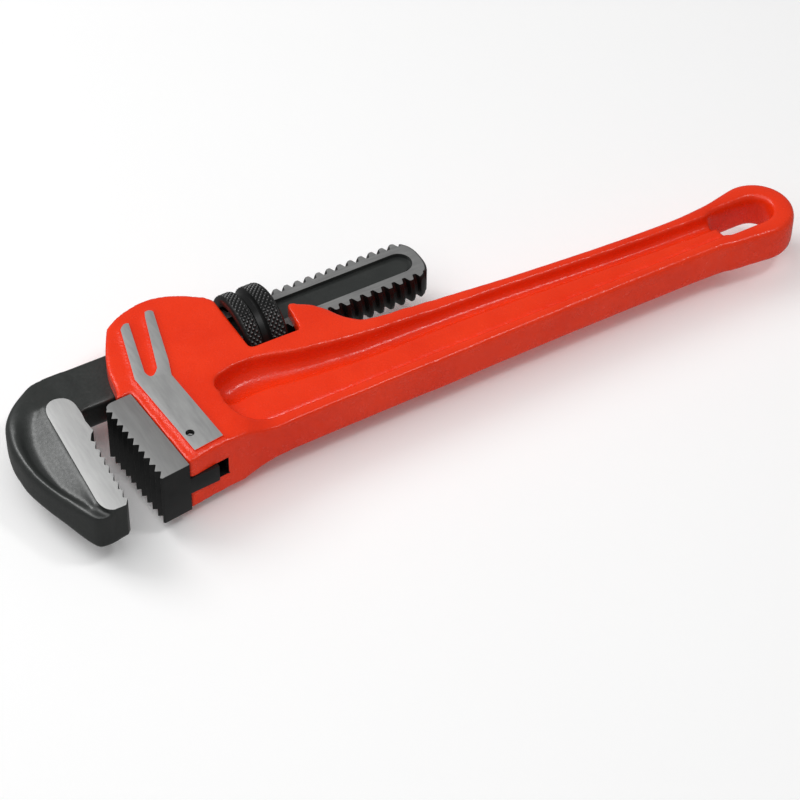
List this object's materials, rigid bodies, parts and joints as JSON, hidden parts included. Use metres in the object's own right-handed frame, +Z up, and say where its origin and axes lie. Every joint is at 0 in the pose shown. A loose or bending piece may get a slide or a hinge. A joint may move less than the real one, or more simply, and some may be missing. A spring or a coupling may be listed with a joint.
{
  "type": "pipe wrench",
  "caption": "Adjustable straight pipe wrench with a painted cast handle, toothed heel and hook jaws, a threaded shank and a knurled adjusting nut.",
  "frame": {"origin": "middle of the bottom of the box, on the surface that the wrench lies on", "axes": "+X along the handle away from the jaws, +Y from the foot of the jaws to the back of the hook, +Z up, square to the flat sides"},
  "size_m": [0.303, 0.0828, 0.0322],
  "materials": {
    "red_paint": "glossy orange-red enamel on a cast surface, with the pads ground bright",
    "black_forging": "satin black forging with ground faces",
    "black_nut": "black oxide, diamond knurled",
    "heel_steel": "ground face, dark hardened sides",
    "spring_steel": "bright spring steel"
  },
  "bodies": {
    "casting": {"handle_casting": "red_paint", "heel_jaw": "heel_steel", "heel_jaw_pin": "spring_steel", "leaf_spring_pin": "spring_steel", "coil_spring": "spring_steel"},
    "shank_rocker": {"leaf_spring": "spring_steel"},
    "nut": {"adjusting_nut": "black_nut"},
    "hook": {"hook_jaw": "black_forging"}
  },
  "joints": [
    {"name": "jaw_rock", "type": "hinge", "parent": "casting", "child": "shank_rocker", "pos_m": [-0.0593, 0.0192, 0.0161], "axis": [0, 0, 1], "range_deg": [0, 2.5], "stiffness_Nm_per_rad": 6, "springref_deg": -2.86},
    {"name": "nut_spin", "type": "hinge", "parent": "shank_rocker", "child": "nut", "pos_m": [-0.0593, 0.0192, 0.0161], "axis": [1, 0, 0], "range_deg": [-472, 3957]},
    {"name": "jaw_slide", "type": "slide", "parent": "shank_rocker", "child": "hook", "axis": [-1, 0, 0], "range_m": [-0.0057, 0.0478]}
  ],
  "couplings": [
    {"joint": "nut_spin", "follows": "jaw_slide", "rad_per_m": 1444.4}
  ]
}
